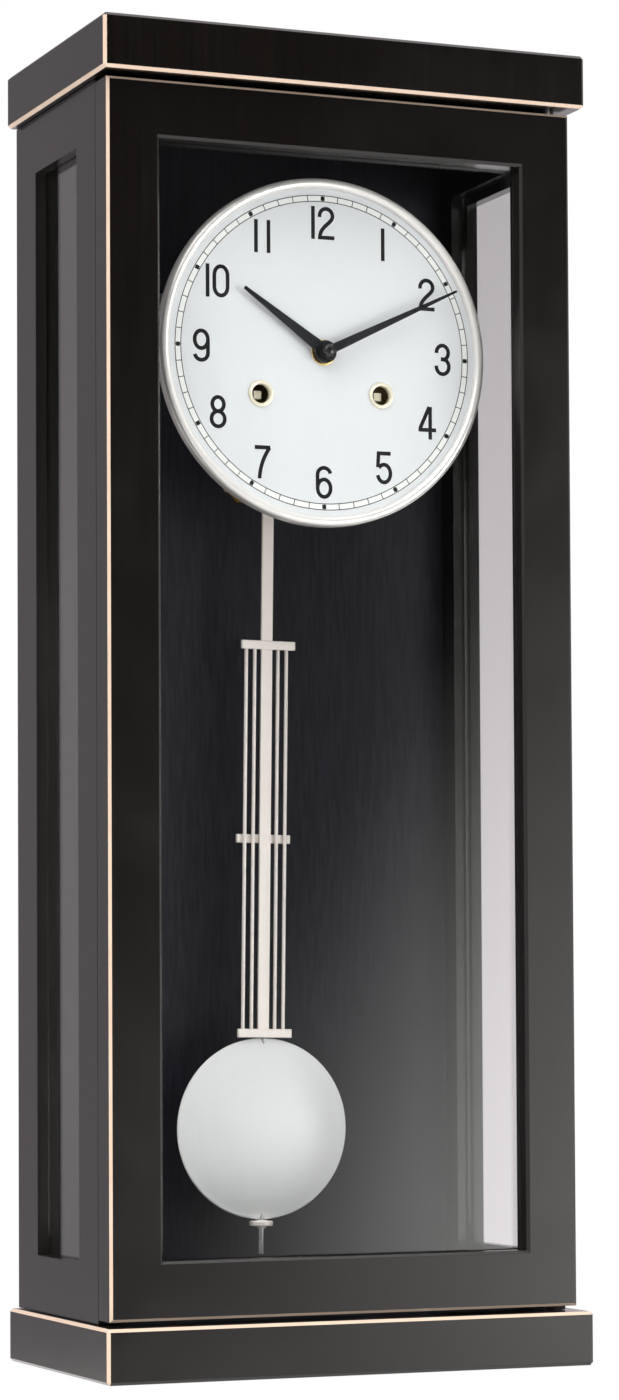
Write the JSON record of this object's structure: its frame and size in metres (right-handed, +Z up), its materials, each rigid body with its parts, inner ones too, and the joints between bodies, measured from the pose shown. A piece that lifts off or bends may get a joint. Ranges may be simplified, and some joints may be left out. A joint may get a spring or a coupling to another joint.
{
  "type": "pendulum wall clock",
  "caption": "Tall black glazed wall clock with a round silvered dial, stick hands, a gridiron pendulum with a polished disc bob, and a striking spring movement behind the dial.",
  "frame": {"origin": "on the wall plane, where the clock hangs from its wall screw, behind the dial's top edge and on the centre line", "axes": "+Z up, -Y out of the front glass, +X to the viewer's right"},
  "size_m": [0.265, 0.155, 0.68],
  "materials": {
    "black_lacquer": "satin black lacquer over veneered board, cream edge lines",
    "glass": "clear float glass",
    "brass": "brushed and lacquered",
    "steel": "fine brushed",
    "blued_black": "satin black",
    "dial_silver": "matte silvered paint with black print",
    "bezel_chrome": "polished, faintly warm",
    "nickel": "polished nickel plate",
    "rubber": "matte"
  },
  "bodies": {
    "case": {"cornice": "black_lacquer", "plinth": "black_lacquer", "back_panel": "black_lacquer", "left_side_panel": "black_lacquer", "right_side_panel": "black_lacquer", "left_side_glass": "glass", "right_side_glass": "glass", "hanger_plate": "steel", "wall_spacer_left": "rubber", "wall_spacer_right": "rubber", "hinge_pin_top": "steel", "hinge_pin_bottom": "steel", "hinge_washer": "brass", "catch_magnet": "rubber", "movement_bracket_left": "steel", "movement_bracket_right": "steel", "movement_front_plate": "brass", "movement_back_plate": "brass", "dial_pan": "steel", "dial_plate": "dial_silver", "dial_bezel": "bezel_chrome", "winding_ring_left": "brass", "winding_ring_right": "brass", "suspension_cock": "brass", "bell": "brass", "bell_post": "steel"},
    "door": {"door_frame": "black_lacquer", "door_glass": "glass", "glass_retainer": "black_lacquer", "catch_strike": "steel"},
    "minute_arbor": {"centre_wheel": "brass", "cannon_pinion": "steel", "minute_hand": "blued_black", "hand_nut": "blued_black"},
    "hour_sleeve": {"hour_wheel": "brass", "hour_hand": "blued_black"},
    "minute_wheel_pair": {"minute_wheel": "brass"},
    "time_barrel": {"going_barrel": "brass"},
    "time_winding_square": {"going_winding_arbor": "steel"},
    "second_arbor": {"intermediate_wheel": "brass"},
    "third_arbor": {"third_wheel": "brass"},
    "escape_arbor": {"escape_wheel": "brass"},
    "strike_spring_barrel": {"strike_barrel": "brass"},
    "strike_winding_square": {"strike_winding_arbor": "steel"},
    "pin_wheel_arbor": {"strike_pin_wheel": "brass"},
    "fly_arbor": {"strike_fly": "steel"},
    "hammer_arbor": {"hammer": "steel"},
    "anchor_and_crutch": {"pallet_anchor": "steel"},
    "pendulum": {"suspension_spring": "steel", "pendulum_bar": "nickel", "grid_bar_top": "nickel", "grid_bar_middle": "nickel", "grid_bar_bottom": "nickel", "grid_rod_1": "nickel", "grid_rod_2": "nickel", "grid_rod_3": "nickel", "grid_rod_4": "nickel", "adjusting_screw": "steel", "bob": "nickel"},
    "rating_nut_body": {"rating_nut": "nickel"}
  },
  "joints": [
    {"name": "door_hinge", "type": "hinge", "parent": "case", "child": "door", "pos_m": [0.1195, -0.1366, -0.5819], "axis": [0, 0, 1], "range_deg": [0, 95]},
    {"name": "minute_hand_turn", "type": "hinge", "parent": "case", "child": "minute_arbor", "pos_m": [0, -0.08, -0.0895], "axis": [0, 1, 0], "continuous": true},
    {"name": "hour_hand_turn", "type": "hinge", "parent": "case", "child": "hour_sleeve", "pos_m": [0, -0.08, -0.0895], "axis": [0, 1, 0], "continuous": true},
    {"name": "minute_wheel_turn", "type": "hinge", "parent": "case", "child": "minute_wheel_pair", "pos_m": [0, -0.08, -0.1015], "axis": [0, 1, 0], "continuous": true},
    {"name": "time_barrel_turn", "type": "hinge", "parent": "case", "child": "time_barrel", "pos_m": [0.0322, -0.08, -0.1102], "axis": [0, 1, 0], "continuous": true},
    {"name": "time_winding_turn", "type": "hinge", "parent": "case", "child": "time_winding_square", "pos_m": [0.0322, -0.08, -0.1102], "axis": [0, 1, 0], "continuous": true},
    {"name": "second_arbor_turn", "type": "hinge", "parent": "case", "child": "second_arbor", "pos_m": [0.02465, -0.08, -0.08428], "axis": [0, 1, 0], "continuous": true},
    {"name": "third_arbor_turn", "type": "hinge", "parent": "case", "child": "third_arbor", "pos_m": [-0.01573, -0.08, -0.0735], "axis": [0, 1, 0], "continuous": true},
    {"name": "escape_arbor_turn", "type": "hinge", "parent": "case", "child": "escape_arbor", "pos_m": [0, -0.08, -0.0635], "axis": [0, 1, 0], "continuous": true},
    {"name": "strike_barrel_turn", "type": "hinge", "parent": "case", "child": "strike_spring_barrel", "pos_m": [-0.0348, -0.08, -0.1126], "axis": [0, 1, 0], "continuous": true},
    {"name": "strike_winding_turn", "type": "hinge", "parent": "case", "child": "strike_winding_square", "pos_m": [-0.0348, -0.08, -0.1126], "axis": [0, 1, 0], "continuous": true},
    {"name": "pin_wheel_turn", "type": "hinge", "parent": "case", "child": "pin_wheel_arbor", "pos_m": [-0.04, -0.08, -0.08611], "axis": [0, 1, 0], "continuous": true},
    {"name": "fly_turn", "type": "hinge", "parent": "case", "child": "fly_arbor", "pos_m": [-0.04199, -0.08, -0.06942], "axis": [0, 1, 0], "continuous": true},
    {"name": "hammer_lift", "type": "hinge", "parent": "case", "child": "hammer_arbor", "pos_m": [-0.052, -0.08, -0.073], "axis": [0, -1, 0], "range_deg": [0, 14]},
    {"name": "pendulum_swing", "type": "hinge", "parent": "case", "child": "pendulum", "pos_m": [0, -0.042, -0.041], "axis": [0, 1, 0], "range_deg": [-3.85, 2.15]},
    {"name": "anchor_rock", "type": "hinge", "parent": "case", "child": "anchor_and_crutch", "pos_m": [0, -0.08, -0.041], "axis": [0, 1, 0], "range_deg": [-3.85, 2.15]},
    {"name": "rating_nut_turn", "type": "hinge", "parent": "pendulum", "child": "rating_nut_body", "pos_m": [-0.00739, -0.042, -0.53885], "axis": [0.0148, 0, 0.9999], "continuous": true}
  ],
  "couplings": [
    {"joint": "hour_hand_turn", "follows": "minute_hand_turn", "ratio": 0.083333},
    {"joint": "minute_wheel_turn", "follows": "minute_hand_turn", "ratio": -0.33333},
    {"joint": "second_arbor_turn", "follows": "minute_hand_turn", "ratio": -0.16667},
    {"joint": "time_barrel_turn", "follows": "minute_hand_turn", "ratio": 0.025641},
    {"joint": "third_arbor_turn", "follows": "minute_hand_turn", "ratio": -7.5},
    {"joint": "escape_arbor_turn", "follows": "minute_hand_turn", "ratio": 75},
    {"joint": "pin_wheel_turn", "follows": "strike_barrel_turn", "ratio": -6.5},
    {"joint": "fly_turn", "follows": "strike_barrel_turn", "ratio": 39},
    {"joint": "anchor_rock", "follows": "pendulum_swing", "ratio": 1}
  ]
}
